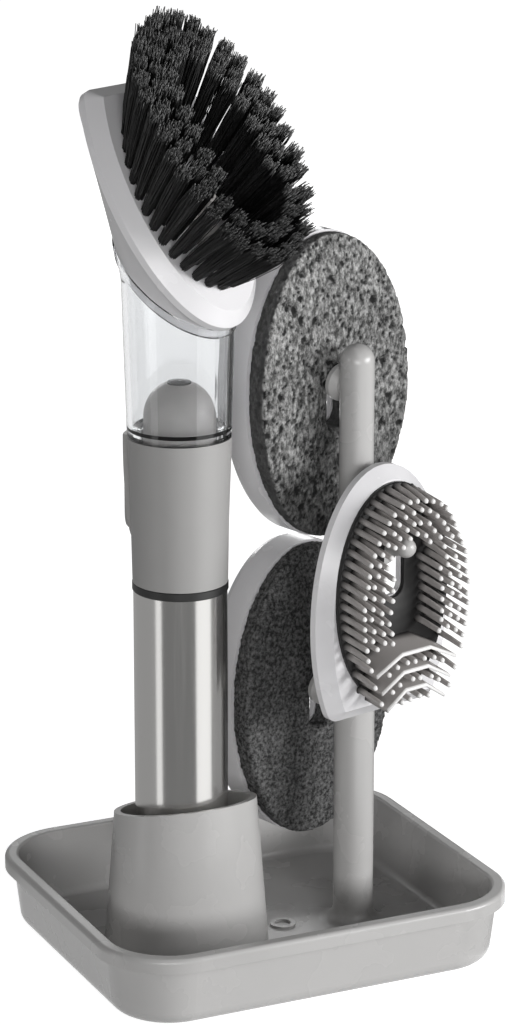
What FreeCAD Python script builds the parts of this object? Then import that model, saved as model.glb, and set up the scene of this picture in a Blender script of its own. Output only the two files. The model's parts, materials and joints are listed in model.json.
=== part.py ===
import FreeCAD, Part
import math
import os

# Dish wand on its drip stand, with three spare heads. Millimetres.
# Frame: origin under the middle of the tray, +Z up, +X along the tray, -Y to the front.

V = FreeCAD.Vector

# Drip tray
TRAY_LENGTH = 150.0
TRAY_WIDTH = 130.5
TRAY_HEIGHT = 26.0
TRAY_CORNER = 26.0
TRAY_WALL = 2.2
TRAY_FLOOR = 2.4
TRAY_DRAFT = 3.0
TRAY_LIP_REACH = 2.6
TRAY_LIP_DEPTH = 5.0
TRAY_LIP_ROUND = 1.6
TRAY_RIM_ROUND = 0.9
TRAY_FOOT_ROUND = 5.0
RING_X = 11.5
RING_Y = -0.5
RING_DIAMETER = 9.0
RING_BORE = 5.6
RING_HEIGHT = 0.7

# Oval cup that holds the wand's handle
CUP_X = -25.2
CUP_Y = 0.0
CUP_RIM_LENGTH = 49.0
CUP_RIM_WIDTH = 40.0
CUP_FOOT_LENGTH = 58.5
CUP_FOOT_WIDTH = 48.0
CUP_HEIGHT = 51.0
CUP_SLANT = 12.0
CUP_WALL = 2.2

# Post, in two tubes
POST_X = 36.8
POST_Y = -4.7
BOSS_HEIGHT = 24.3
BOSS_FLARE = 5.0
POST_LOWER_DIAMETER = 14.0
POST_LOWER_LENGTH = 84.0
POST_UPPER_DIAMETER = 11.8
POST_UPPER_LENGTH = 99.0
POST_WALL = 2.0
SPIGOT_LENGTH = 16.0
SPIGOT_CLEARANCE = 0.05

# Pegs for the spare heads
PEG_DIAMETER = 6.0
PEG_BALL_DIAMETER = 6.8
PEG_ROOT_DIAMETER = 8.4
PEG_FLANGE_DIAMETER = 13.2
PEG_FLANGE = 1.6
PEG_RISE = 8.0
UPPER_PEG_SHOULDER = 8.8
UPPER_PEG_LENGTH = 27.0
LOWER_PEG_SHOULDER = 17.0
LOWER_PEG_LENGTH = 35.0
FRONT_PEG_SHOULDER = 14.6
FRONT_PEG_LENGTH = 29.0
SEAT_GAP = 0.3
HANG_AZIMUTH = 105.0

# Wand
WAND_AZIMUTH = -65.0
WAND_SHIFT = -1.6
TUBE_DIAMETER = 31.8
TUBE_WALL = 0.8
TUBE_LENGTH = 125.4
CAP_FLANGE = 3.0
CAP_PLUG = 7.0
CAP_ROUND = 1.2
TANK_WALL = 1.5
TANK_CLEARANCE = 0.1
TANK_NECK_DIAMETER = 24.0
TANK_NECK_HEIGHT = 14.0
LUG_REACH = 1.4
LUG_HEIGHT = 2.6
LUG_WIDTH = 6.0
LOCK_TURN = 60.0
LOCK_CLEARANCE = 0.3
SEAL_THICKNESS = 3.0
SEAL_PROUD = 0.35
GRIP_LENGTH = 50.2
GRIP_FOOT_DIAMETER = 32.2
GRIP_TOP_DIAMETER = 35.0
GRIP_WALL = 2.6
GRIP_DECK = 2.6
GRIP_WAIST_SHARE = 0.45
GRIP_WAIST_SWELL = 0.3
INLET_DIAMETER = 5.0

# Thumb button and pump
BUTTON_HEIGHT = 33.0
BUTTON_WIDTH = 16.0
BUTTON_PROUD = 1.9
REST_HEIGHT = 39.5
REST_MARGIN = 3.0
REST_PROUD = 1.5
BUTTON_DROP = 19.8
BUTTON_DEPTH = 3.4
BUTTON_TRAVEL = 3.5
BUTTON_CLEARANCE = 0.3
PUMP_DIAMETER = 24.0
PUMP_DOME_RISE = 19.0
PUMP_DOME_FLAT = 1.0
PUMP_BORE = 12.0
PUMP_DEPTH = 13.5
PISTON_LENGTH = 4.0
PISTON_STEM = 5.0
PISTON_CLEARANCE = 0.05
BELLOWS_DIAMETER = 10.0
BELLOWS_DEPTH = 1.6
BELLOWS_WALL = 0.8
BELLOWS_FOLDS = 4
PISTON_SET = 0.4
PUMP_RELIEF = 1.2
PASSAGE_DIAMETER = 4.0
VALVE_THICKNESS = 1.0

# Clear soap neck and head carrier
NECK_WALL = 1.8
NECK_RIM_DIAMETER = 38.0
NECK_AXIS_HEIGHT = 53.0
NECK_FLARE = 0.16
NECK_SPIGOT = 3.0
NECK_BEAD = 2.4
NECK_BEAD_PROUD = 0.7
NECK_SLOPE = 36.3
FACE_TILT = 29.6
CARRIER_LIP = 4.0
CARRIER_LIP_WALL = 1.6
CARRIER_SPIGOT = 4.0
CARRIER_FIT = 0.2
CARRIER_EDGE = 1.6
CARRIER_DECK = 1.8
CARRIER_SECTIONS = 36
RIM_STEPS = 20

# Heads
HEAD_LENGTH = 87.0
HEAD_WIDTH = 60.0
HEAD_TIP_WIDTH = 46.0
HEAD_TIP_ROUND = 5.0
HEAD_DEPTH = 7.0
HEAD_BEVEL = 4.5
HEAD_EDGE = 2.6
HEAD_OVERHANG = 1.5
HEAD_WALL = 2.0
HEAD_PLATE = 2.2
SOCKET_LENGTH = 58.0
SOCKET_WIDTH = 36.0
SOCKET_RIB = 1.6
SLOT_WIDTH = 8.4
SLOT_LENGTH = 21.0
SLOT_OFFSET = -9.0

# Brush
TUFT_LENGTH = 31.0
TUFT_ROOT = 3.6
TUFT_TIP = 5.4
TUFT_RAKE = 24.0
TUFT_SPREAD = 20.0
TUFT_SPLAY = 10.0
TUFT_SHIFT = 3.0
TUFT_PITCH = 5.4
TUFT_RINGS = 3
TUFT_EDGE = 2.6
NOZZLE_RISE = 9.0
NOZZLE_FLANGE = 2.0
NOZZLE_TIP = 4.0
NOZZLE_HOLE = 1.6

# Sponge and scourer heads
PAD_LENGTH = 106.0
PAD_WIDTH = 66.5
PAD_EDGE = 5.0
PAD_CROWN = 3.0
PAD_BASE_LENGTH = 107.0
PAD_BASE_WIDTH = 68.0
PAD_BASE_DEPTH = 14.5
PAD_BASE_ROUND = 4.0
PAD_SLOT_OFFSET = 2.8
SPONGE_HEIGHT = 192.5
SCOURER_HEIGHT = 81.5

# Silicone head
MAT_THICKNESS = 1.8
MAT_MARGIN = 0.6
ROD_LENGTH = 12.0
ROD_ROOT = 2.3
ROD_TIP = 1.9
ROD_RINGS = 4
ROD_RING_PITCH = 4.0
ROD_SPACING = 3.7
VOID_LENGTH = 28.0
VOID_WIDTH = 16.0
VOID_OFFSET = -7.0
BLADE_COUNT = 3
BLADE_PITCH = 6.5
BLADE_WALL = 1.7
BLADE_WIDTH = 36.0
BLADE_RISE = 5.5
BLADE_FIRST = 15.5
BLADE_CREST = 0.36
BLADE_NARROWING = 2.5
SILICONE_HEIGHT = 127.0

# Heights along the wand, from the tray's floor up
TUBE_FOOT = TRAY_FLOOR + CAP_FLANGE
TUBE_TOP = TUBE_FOOT + TUBE_LENGTH
GRIP_FOOT = TUBE_TOP + SEAL_THICKNESS
GRIP_TOP = GRIP_FOOT + GRIP_LENGTH
GRIP_FLOOR = GRIP_FOOT + TANK_NECK_HEIGHT - SEAL_THICKNESS + LOCK_CLEARANCE
PUMP_FOOT = GRIP_FLOOR + GRIP_DECK
BUTTON_LEVEL = GRIP_TOP - BUTTON_DROP
NECK_LEVEL = GRIP_TOP + NECK_AXIS_HEIGHT

TUBE_RADIUS = TUBE_DIAMETER / 2
GRIP_CAVITY = GRIP_FOOT_DIAMETER / 2 - GRIP_WALL
NECK_SEAT = GRIP_TOP_DIAMETER / 2 - GRIP_WALL
TANK_NECK_RADIUS = TANK_NECK_DIAMETER / 2
LUG_LEVEL = GRIP_FLOOR - LOCK_CLEARANCE - LUG_HEIGHT
BUTTON_INNER = BUTTON_DEPTH - GRIP_TOP_DIAMETER / 2
PUMP_BACK = BUTTON_INNER + BUTTON_TRAVEL + PUMP_RELIEF
DOME_LEVEL = GRIP_TOP + PUMP_DOME_RISE - PUMP_DOME_FLAT
PISTON_FACE = PUMP_BACK + PISTON_SET + PISTON_LENGTH


def revolve_outline(edges):
    """Solid of revolution about Z from a closed outline in the XZ plane."""
    return Part.Face(Part.Wire(edges)).revolve(V(0, 0, 0), V(0, 0, 1), 360)


def revolve(points):
    """Solid of revolution about Z from (radius, height) corners."""
    return revolve_outline(Part.makePolygon([V(r, 0, z) for r, z in points + points[:1]]).Edges)


def cylinder(diameter, length, base=V(0, 0, 0), axis=V(0, 0, 1)):
    return Part.makeCylinder(diameter / 2, length, base, axis)


def prism(wire, height):
    return Part.Face(wire).extrude(V(0, 0, height))


def ellipse(length, width, level=0.0, along=V(0, 1, 0), centre=V(0, 0, 0)):
    """Oval wire square to Z whose long side runs along the given direction."""
    across = V(0, 0, 1).cross(along)
    corner = V(centre.x, centre.y, level)
    if length >= width:
        curve = Part.Ellipse(corner + along * (length / 2), corner + across * (width / 2), corner)
    else:
        curve = Part.Ellipse(corner + across * (width / 2), corner - along * (length / 2), corner)
    return Part.Wire(curve.toShape())


def rounded_rectangle(length, width, corner, level):
    x = length / 2
    y = width / 2
    block = Part.makeBox(length, width, 1, V(-x, -y, level))
    upright = [e for e in block.Edges if abs(e.tangentAt(e.FirstParameter).z) > 0.9]
    rounded = block.makeFillet(corner, upright)
    foot = min(rounded.Faces, key=lambda f: f.CenterOfMass.z)
    return foot.OuterWire


def obround(length, width, height):
    """Upright slot-shaped prism, long side along Y, centred on Z."""
    half = (length - width) / 2
    body = Part.makeBox(width, 2 * half, height, V(-width / 2, -half, 0))
    ends = [cylinder(width, height, V(0, side * half, 0)) for side in (-1, 1)]
    return body.fuse(ends).removeSplitter()


def frame(origin, x_axis, y_axis, z_axis):
    matrix = FreeCAD.Matrix(
        x_axis.x, y_axis.x, z_axis.x, origin.x,
        x_axis.y, y_axis.y, z_axis.y, origin.y,
        x_axis.z, y_axis.z, z_axis.z, origin.z,
        0, 0, 0, 1)
    return FreeCAD.Placement(matrix)


def placed(shape, placement):
    moved = shape.copy()
    moved.Placement = placement.multiply(moved.Placement)
    return moved


def edges_at(shape, level, tolerance=0.01):
    """Edges that lie wholly at one height."""
    found = []
    for edge in shape.Edges:
        box = edge.BoundBox
        if abs(box.ZMin - level) < tolerance and abs(box.ZMax - level) < tolerance:
            found.append(edge)
    return found


# Directions
def heading(azimuth, rise=0.0):
    a = math.radians(azimuth)
    e = math.radians(rise)
    return V(math.cos(a) * math.cos(e), math.sin(a) * math.cos(e), math.sin(e))


UP = V(0, 0, 1)
BACK = heading(HANG_AZIMUTH)
FRONT = BACK * -1
WAND_PLACE = FreeCAD.Placement(V(CUP_X + WAND_SHIFT, CUP_Y, 0), FreeCAD.Rotation(UP, WAND_AZIMUTH))
POST_AXIS = V(POST_X, POST_Y, 0)

# Brush head on the wand: its tip leans back, its face looks forward and up
tilt = math.radians(FACE_TILT)
slope = math.radians(NECK_SLOPE)
FACE_NORMAL = V(math.cos(tilt), 0, math.sin(tilt))
FACE_LENGTHWISE = V(-math.sin(tilt), 0, math.cos(tilt))
RIM_NORMAL = V(math.sin(slope), 0, math.cos(slope))
RIM_CENTRE = V(0, 0, NECK_LEVEL)


def neck_radius(level):
    """Outside of the clear neck, which widens faster above its middle."""
    foot = GRIP_TOP_DIAMETER / 2
    rim = NECK_RIM_DIAMETER / 2
    if level > NECK_LEVEL:
        return rim + (level - NECK_LEVEL) * NECK_FLARE
    return foot + (rim - foot) * (level - GRIP_TOP) / NECK_AXIS_HEIGHT


def rim_point(turn):
    """Point of the neck's slanted rim, counted from the back."""
    reach = NECK_RIM_DIAMETER / 2
    for step in range(RIM_STEPS):
        level = NECK_LEVEL + reach * math.cos(turn) * math.tan(slope)
        reach = neck_radius(level)
    return V(-reach * math.cos(turn), reach * math.sin(turn), level)


# The rim's front end sits one carrier edge below the head's back plane
rim_front = rim_point(math.pi)
HEAD_BACK_POINT = rim_front + FACE_NORMAL * CARRIER_EDGE
HEAD_MIDDLE = HEAD_BACK_POINT + FACE_LENGTHWISE * (HEAD_LENGTH / 2 - HEAD_OVERHANG)
HEAD_ORIGIN = HEAD_MIDDLE + FACE_NORMAL * HEAD_DEPTH
HEAD_ON_WAND = WAND_PLACE.multiply(frame(HEAD_ORIGIN, V(0, 1, 0), FACE_LENGTHWISE, FACE_NORMAL))


def half_space_above(point, normal, size=400.0):
    """Large block on the far side of a plane."""
    block = Part.makeBox(size, size, size, V(-size / 2, -size / 2, 0))
    block.Placement = FreeCAD.Placement(point, FreeCAD.Rotation(UP, normal))
    return block


# Drip tray
def make_tray():
    lip_length = TRAY_LENGTH - 2 * TRAY_LIP_REACH
    lip_width = TRAY_WIDTH - 2 * TRAY_LIP_REACH
    corner = TRAY_CORNER - TRAY_LIP_REACH
    draft = TRAY_DRAFT

    def tub(inset, foot, corner_inset):
        top = rounded_rectangle(
            lip_length - 2 * inset, lip_width - 2 * inset, corner - corner_inset, TRAY_HEIGHT)
        base = rounded_rectangle(
            lip_length - 2 * inset - 2 * draft, lip_width - 2 * inset - 2 * draft,
            corner - corner_inset - draft, foot)
        solid = Part.makeLoft([base, top], True, True)
        return solid.makeFillet(TRAY_FOOT_ROUND - corner_inset, edges_at(solid, foot))

    outer = tub(0.0, 0.0, 0.0)
    inner = tub(TRAY_WALL, TRAY_FLOOR, TRAY_WALL)
    tray = outer.cut(inner)

    lip_foot = TRAY_HEIGHT - TRAY_LIP_DEPTH
    lip = prism(rounded_rectangle(TRAY_LENGTH, TRAY_WIDTH, TRAY_CORNER, lip_foot), TRAY_LIP_DEPTH)
    lip = lip.makeFillet(TRAY_LIP_ROUND, edges_at(lip, TRAY_HEIGHT))
    hole = prism(
        rounded_rectangle(lip_length - TRAY_WALL, lip_width - TRAY_WALL, corner - TRAY_WALL / 2, lip_foot),
        TRAY_LIP_DEPTH)
    tray = tray.fuse(lip.cut(hole)).cut(inner).removeSplitter()
    rim = max(tray.Faces, key=lambda f: f.CenterOfMass.z)
    inner_edge = min(rim.Wires, key=lambda w: w.Length)
    tray = tray.makeFillet(TRAY_RIM_ROUND, inner_edge.Edges)

    radius = POST_LOWER_DIAMETER / 2
    spigot = radius - POST_WALL - SPIGOT_CLEARANCE
    boss_top = TRAY_FLOOR + BOSS_HEIGHT
    flare_foot = V(radius + BOSS_FLARE, 0, TRAY_FLOOR)
    flare_top = V(radius, 0, TRAY_FLOOR + BOSS_FLARE)
    bend = BOSS_FLARE * (1 - math.sqrt(0.5))
    flare = Part.Arc(flare_foot, V(radius + bend, 0, TRAY_FLOOR + bend), flare_top).toShape()
    spigot_top = boss_top + SPIGOT_LENGTH
    sides = Part.makePolygon([
        flare_top, V(radius, 0, boss_top), V(spigot, 0, boss_top), V(spigot, 0, spigot_top),
        V(0, 0, spigot_top), V(0, 0, TRAY_FLOOR / 2), V(radius + BOSS_FLARE, 0, TRAY_FLOOR / 2), flare_foot])
    boss = revolve_outline([flare] + sides.Edges)
    boss.translate(POST_AXIS)
    ring = revolve([
        (RING_BORE / 2, TRAY_FLOOR / 2), (RING_DIAMETER / 2, TRAY_FLOOR / 2),
        (RING_DIAMETER / 2, TRAY_FLOOR + RING_HEIGHT), (RING_BORE / 2, TRAY_FLOOR + RING_HEIGHT)])
    ring.translate(V(RING_X, RING_Y, 0))
    return tray.fuse([boss, ring]).removeSplitter()


# Oval cup standing on the tray's floor, with a rim that slopes down to the back
def make_cup():
    along = V(1, 0, 0)
    centre = V(CUP_X, CUP_Y, 0)
    lean = math.radians(CUP_SLANT)
    peak = TRAY_FLOOR + CUP_HEIGHT + CUP_RIM_WIDTH * math.tan(lean)

    def cone(inset):
        base = ellipse(CUP_FOOT_LENGTH - 2 * inset, CUP_FOOT_WIDTH - 2 * inset, TRAY_FLOOR, along, centre)
        rim = ellipse(CUP_RIM_LENGTH - 2 * inset, CUP_RIM_WIDTH - 2 * inset, peak, along, centre)
        return Part.makeLoft([base, rim], True, True)

    rim_centre = centre + UP * (TRAY_FLOOR + CUP_HEIGHT)
    rim_normal = V(0, math.sin(lean), math.cos(lean))
    return cone(0.0).cut(cone(CUP_WALL)).cut(half_space_above(rim_centre, rim_normal))


# Post tubes
def make_lower_post():
    outer = POST_LOWER_DIAMETER / 2
    foot = TRAY_FLOOR + BOSS_HEIGHT
    top = foot + POST_LOWER_LENGTH
    seat = POST_UPPER_DIAMETER / 2 - POST_WALL
    tube = revolve([
        (outer - POST_WALL, foot), (outer, foot), (outer, top - POST_WALL), (outer - POST_WALL / 2, top),
        (seat, top), (seat, top - SPIGOT_LENGTH - POST_WALL),
        (outer - POST_WALL, top - SPIGOT_LENGTH - 2 * POST_WALL)])
    tube.translate(POST_AXIS)
    return tube


def make_upper_post():
    outer = POST_UPPER_DIAMETER / 2
    foot = TRAY_FLOOR + BOSS_HEIGHT + POST_LOWER_LENGTH
    dome = foot + POST_UPPER_LENGTH - outer
    spigot = outer - POST_WALL - SPIGOT_CLEARANCE
    tube = revolve([
        (0, foot - SPIGOT_LENGTH), (spigot, foot - SPIGOT_LENGTH), (spigot, foot), (outer, foot),
        (outer, dome), (0, dome)])
    cap = Part.makeSphere(outer, V(0, 0, dome), UP, 0, 90, 360)
    tube = tube.fuse(cap).removeSplitter()
    tube.translate(POST_AXIS)
    return tube


def make_peg(root, direction, shoulder, length, post):
    """Ball-ended peg with a shoulder flange, seated on the post's round side."""
    ball = PEG_BALL_DIAMETER / 2
    radius = PEG_DIAMETER / 2
    neck = PEG_ROOT_DIAMETER / 2
    flange = PEG_FLANGE_DIAMETER / 2
    peg = revolve([
        (0, 0), (neck, 0), (neck, shoulder - 2 * PEG_FLANGE), (flange, shoulder - PEG_FLANGE),
        (flange, shoulder), (radius, shoulder), (radius, length - ball), (0, length - ball)])
    peg = peg.fuse(Part.makeSphere(ball, V(0, 0, length - ball))).removeSplitter()
    peg.Placement = FreeCAD.Placement(root, FreeCAD.Rotation(UP, direction))
    return peg.cut(post)


# Handle: cap, steel tube, soap tank and seal
def make_end_cap():
    plug = TUBE_RADIUS - TUBE_WALL - TANK_CLEARANCE
    return revolve([
        (0, TRAY_FLOOR), (TUBE_RADIUS - CAP_ROUND, TRAY_FLOOR), (TUBE_RADIUS, TRAY_FLOOR + CAP_ROUND),
        (TUBE_RADIUS, TUBE_FOOT), (plug, TUBE_FOOT), (plug, TUBE_FOOT + CAP_PLUG),
        (0, TUBE_FOOT + CAP_PLUG)])


def make_handle_tube():
    return revolve([
        (TUBE_RADIUS - TUBE_WALL, TUBE_FOOT), (TUBE_RADIUS, TUBE_FOOT),
        (TUBE_RADIUS, TUBE_TOP), (TUBE_RADIUS - TUBE_WALL, TUBE_TOP)])


def make_soap_tank():
    outer = TUBE_RADIUS - TUBE_WALL - TANK_CLEARANCE
    inner = outer - TANK_WALL
    foot = TUBE_FOOT + CAP_PLUG
    neck = TANK_NECK_RADIUS
    neck_top = TUBE_TOP + TANK_NECK_HEIGHT
    bore = neck - TANK_WALL
    tank = revolve([
        (0, foot), (outer, foot), (outer, TUBE_TOP), (neck, TUBE_TOP), (neck, neck_top), (bore, neck_top),
        (bore, TUBE_TOP - TANK_WALL), (inner, TUBE_TOP - 2 * TANK_WALL), (inner, foot + TANK_WALL),
        (0, foot + TANK_WALL)])
    for turn in (0, 180):
        lug = Part.makeBox(TANK_WALL / 2 + LUG_REACH, LUG_WIDTH, LUG_HEIGHT,
                           V(neck - TANK_WALL / 2, -LUG_WIDTH / 2, LUG_LEVEL))
        lug = lug.common(cylinder(2 * (neck + LUG_REACH), LUG_HEIGHT, V(0, 0, LUG_LEVEL)))
        lug.rotate(V(0, 0, 0), UP, turn)
        tank = tank.fuse(lug)
    return tank.removeSplitter()


def make_seal_ring():
    inner = TANK_NECK_RADIUS + LOCK_CLEARANCE
    outer = TUBE_RADIUS + SEAL_PROUD
    round_in = SEAL_PROUD
    return revolve([
        (inner, TUBE_TOP), (outer - round_in, TUBE_TOP), (outer, TUBE_TOP + round_in),
        (outer, GRIP_FOOT - round_in), (outer - round_in, GRIP_FOOT), (inner, GRIP_FOOT)])


# Grip sleeve with its lock socket, deck and button window
def button_prism(clearance, inner, outer):
    body = obround(BUTTON_HEIGHT + 2 * clearance, BUTTON_WIDTH + 2 * clearance, outer - inner)
    body.Placement = frame(V(-outer, 0, BUTTON_LEVEL), V(0, 1, 0), UP, V(1, 0, 0))
    return body


def make_thumb_rest():
    """Low swelling of the grip round the button, highest at the grip's top."""
    foot = GRIP_TOP - REST_HEIGHT
    middle = GRIP_TOP - REST_HEIGHT * GRIP_WAIST_SHARE
    crest = GRIP_TOP_DIAMETER / 2 + REST_PROUD
    buried = NECK_SEAT + GRIP_WALL / 3
    low_end = V(GRIP_FOOT_DIAMETER / 2, 0, foot)
    top_end = V(crest, 0, GRIP_TOP)
    swell = Part.Arc(low_end, V(crest - REST_PROUD * GRIP_WAIST_SWELL, 0, middle), top_end).toShape()
    sides = Part.makePolygon([top_end, V(buried, 0, GRIP_TOP), V(buried, 0, foot), low_end])
    ring = revolve_outline([swell] + sides.Edges)
    outline = obround(2 * REST_HEIGHT, BUTTON_WIDTH + 2 * REST_MARGIN, 2 * crest)
    outline.Placement = frame(V(-2 * crest, 0, GRIP_TOP), V(0, 1, 0), UP, V(1, 0, 0))
    return ring.common(outline)


def make_grip_sleeve():
    foot = GRIP_FOOT_DIAMETER / 2
    top = GRIP_TOP_DIAMETER / 2
    socket = TANK_NECK_RADIUS + LOCK_CLEARANCE
    groove = TANK_NECK_RADIUS + LUG_REACH + LOCK_CLEARANCE
    groove_foot = LUG_LEVEL - LOCK_CLEARANCE
    waist = GRIP_FOOT + GRIP_LENGTH * GRIP_WAIST_SHARE
    sleeve = revolve([
        (INLET_DIAMETER / 2, GRIP_FLOOR), (groove, GRIP_FLOOR), (groove, groove_foot),
        (socket, groove_foot), (socket, GRIP_FOOT), (foot, GRIP_FOOT),
        (foot + (top - foot) * GRIP_WAIST_SWELL, waist), (top, GRIP_TOP),
        (NECK_SEAT, GRIP_TOP), (NECK_SEAT, GRIP_TOP - NECK_SPIGOT), (GRIP_CAVITY, GRIP_TOP - NECK_SPIGOT),
        (GRIP_CAVITY, PUMP_FOOT), (INLET_DIAMETER / 2, PUMP_FOOT)])
    width = LUG_WIDTH + 2 * LOCK_CLEARANCE
    entry = Part.makeBox(2 * groove, width, groove_foot - GRIP_FOOT, V(-groove, -width / 2, GRIP_FOOT))
    entry = entry.common(cylinder(2 * groove, groove_foot - GRIP_FOOT, V(0, 0, GRIP_FOOT)))
    entry.rotate(V(0, 0, 0), UP, LOCK_TURN)
    window = button_prism(BUTTON_CLEARANCE, 0.0, top + BUTTON_PROUD)
    return sleeve.fuse(make_thumb_rest()).cut([entry, window])


# Thumb button: a long pad that swells out of the grip's back
def make_soap_button():
    outer = GRIP_TOP_DIAMETER / 2 + BUTTON_PROUD
    pad = button_prism(0.0, -BUTTON_INNER, outer)
    half = BUTTON_HEIGHT / 2
    sag = BUTTON_PROUD
    bow = (half * half + sag * sag) / (2 * sag)
    barrel = cylinder(2 * bow, 2 * BUTTON_WIDTH, V(bow - outer, -BUTTON_WIDTH, BUTTON_LEVEL), V(0, 1, 0))
    round_side = cylinder(2 * outer, BUTTON_HEIGHT + 2, V(0, 0, BUTTON_LEVEL - half - 1))
    return pad.common(barrel).common(round_side)


def make_pump_body():
    radius = PUMP_DIAMETER / 2
    deck = GRIP_CAVITY - LOCK_CLEARANCE
    dome_foot = GRIP_TOP + PUMP_DOME_RISE - radius
    valve_room = VALVE_THICKNESS + LOCK_CLEARANCE
    body = revolve([
        (0, PUMP_FOOT), (deck, PUMP_FOOT), (deck, PUMP_FOOT + GRIP_DECK), (radius, PUMP_FOOT + GRIP_DECK),
        (radius, dome_foot), (0, dome_foot)])
    body = body.fuse(Part.makeSphere(radius, V(0, 0, dome_foot), UP, 0, 90, 360))
    body = body.cut(Part.makeBox(4 * radius, 4 * radius, radius, V(-2 * radius, -2 * radius, DOME_LEVEL)))
    button_top = BUTTON_LEVEL + BUTTON_HEIGHT / 2 + BUTTON_CLEARANCE
    room = Part.makeBox(
        radius, 4 * radius, button_top - PUMP_FOOT, V(PUMP_BACK - radius, -2 * radius, PUMP_FOOT))
    bore = cylinder(PUMP_BORE, PUMP_DEPTH, V(PUMP_BACK, 0, BUTTON_LEVEL), V(1, 0, 0))
    passage = cylinder(PASSAGE_DIAMETER, DOME_LEVEL - PUMP_FOOT, V(0, 0, PUMP_FOOT))
    valve = cylinder(2 * INLET_DIAMETER + 2 * LOCK_CLEARANCE, valve_room, V(0, 0, PUMP_FOOT))
    return body.cut([room, bore, passage, valve]).removeSplitter()


def umbrella_valve(hole, level):
    """Rubber flap twice as wide as the hole that it covers."""
    return revolve([
        (0, level), (hole, level), (hole, level + VALVE_THICKNESS / 2),
        (hole / 3, level + VALVE_THICKNESS), (0, level + VALVE_THICKNESS)])


def make_pump_piston():
    head = PUMP_BORE / 2 - PISTON_CLEARANCE
    stem = PISTON_STEM / 2
    face = PISTON_FACE - BUTTON_INNER
    piston = revolve([
        (0, 0), (stem, 0), (stem, face - PISTON_LENGTH), (head, face - PISTON_LENGTH),
        (head, face), (0, face)])
    piston.Placement = frame(V(BUTTON_INNER, 0, BUTTON_LEVEL), V(0, 1, 0), UP, V(1, 0, 0))
    return piston


def make_return_bellows():
    """Folded rubber spring between the piston and the end of the pump's bore."""
    crest = BELLOWS_DIAMETER / 2
    length = PUMP_BACK + PUMP_DEPTH - PISTON_FACE
    fold = length / BELLOWS_FOLDS
    outer = [(crest - BELLOWS_DEPTH, 0)]
    for index in range(BELLOWS_FOLDS):
        outer.append((crest, (index + 0.5) * fold))
        outer.append((crest - BELLOWS_DEPTH, (index + 1) * fold))
    inner = [(r - BELLOWS_WALL, z) for r, z in reversed(outer)]
    bellows = revolve(outer + inner)
    bellows.Placement = frame(V(PISTON_FACE, 0, BUTTON_LEVEL), V(0, 1, 0), UP, V(1, 0, 0))
    return bellows


# Clear neck: a slightly flared tube cut off on the slant
NECK_TOP = NECK_LEVEL + NECK_RIM_DIAMETER


def make_clear_neck():
    spigot = NECK_SEAT - SPIGOT_CLEARANCE
    bore = spigot - NECK_WALL
    shoulder = GRIP_TOP + NECK_WALL
    outer = revolve([
        (0, GRIP_TOP - NECK_SPIGOT), (spigot, GRIP_TOP - NECK_SPIGOT), (spigot, GRIP_TOP),
        (neck_radius(GRIP_TOP), GRIP_TOP), (neck_radius(NECK_LEVEL), NECK_LEVEL),
        (neck_radius(NECK_TOP), NECK_TOP), (0, NECK_TOP)])
    inner = revolve([
        (0, GRIP_TOP - NECK_SPIGOT), (bore, GRIP_TOP - NECK_SPIGOT), (bore, shoulder),
        (neck_radius(shoulder) - NECK_WALL, shoulder + NECK_WALL),
        (neck_radius(NECK_LEVEL) - NECK_WALL, NECK_LEVEL),
        (neck_radius(NECK_TOP) - NECK_WALL, NECK_TOP), (0, NECK_TOP)])
    proud = NECK_BEAD_PROUD
    bead = revolve([
        (0, GRIP_TOP), (neck_radius(GRIP_TOP) + proud, GRIP_TOP),
        (neck_radius(NECK_LEVEL) + proud, NECK_LEVEL),
        (neck_radius(NECK_TOP) + proud, NECK_TOP), (0, NECK_TOP)])
    bead = bead.common(half_space_above(RIM_CENTRE - RIM_NORMAL * NECK_BEAD, RIM_NORMAL))
    neck = outer.fuse(bead).cut(inner)
    return neck.cut(half_space_above(RIM_CENTRE, RIM_NORMAL)).removeSplitter()


# Head outlines, face up, tip along +Y, raised plate at height 0
def head_block(inset, foot, top):
    """Oval block with a squared tip."""
    length = HEAD_LENGTH - 2 * inset
    width = HEAD_WIDTH - 2 * inset
    tip = HEAD_TIP_WIDTH - inset
    share = math.sqrt(1 - (tip / width) ** 2)
    oval = 2 * length / (1 + share)
    centre = V(0, -length / 2 + oval / 2, 0)
    block = prism(ellipse(oval, width, foot, V(0, 1, 0), centre), top - foot)
    beyond_tip = Part.makeBox(2 * width, oval, top - foot, V(-width, length / 2, foot))
    block = block.cut(beyond_tip)
    upright = [e for e in block.Edges if abs(e.tangentAt(e.FirstParameter).z) > 0.9]
    at_tip = [e for e in upright if abs(e.CenterOfMass.x) > tip / 4]
    return block.makeFillet(max(HEAD_TIP_ROUND - inset / 2, 1.0), at_tip)


def slot_cutter(offset, direction, back):
    """Soap slot through a face, leaned to suit the peg that passes through it."""
    profile = obround(SLOT_LENGTH, SLOT_WIDTH, 1)
    face = min(profile.Faces, key=lambda f: f.CenterOfMass.z)
    run = direction * (1 / abs(direction.z))
    cutter = face.extrude(run * (3 * back))
    cutter.translate(V(0, offset, 0) - run * (1.5 * back))
    return cutter


def socket_rib(depth, floor):
    height = depth + floor
    outer = prism(ellipse(SOCKET_LENGTH + 2 * SOCKET_RIB, SOCKET_WIDTH + 2 * SOCKET_RIB, -depth), height)
    return outer.cut(prism(ellipse(SOCKET_LENGTH, SOCKET_WIDTH, -depth), height))


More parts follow.
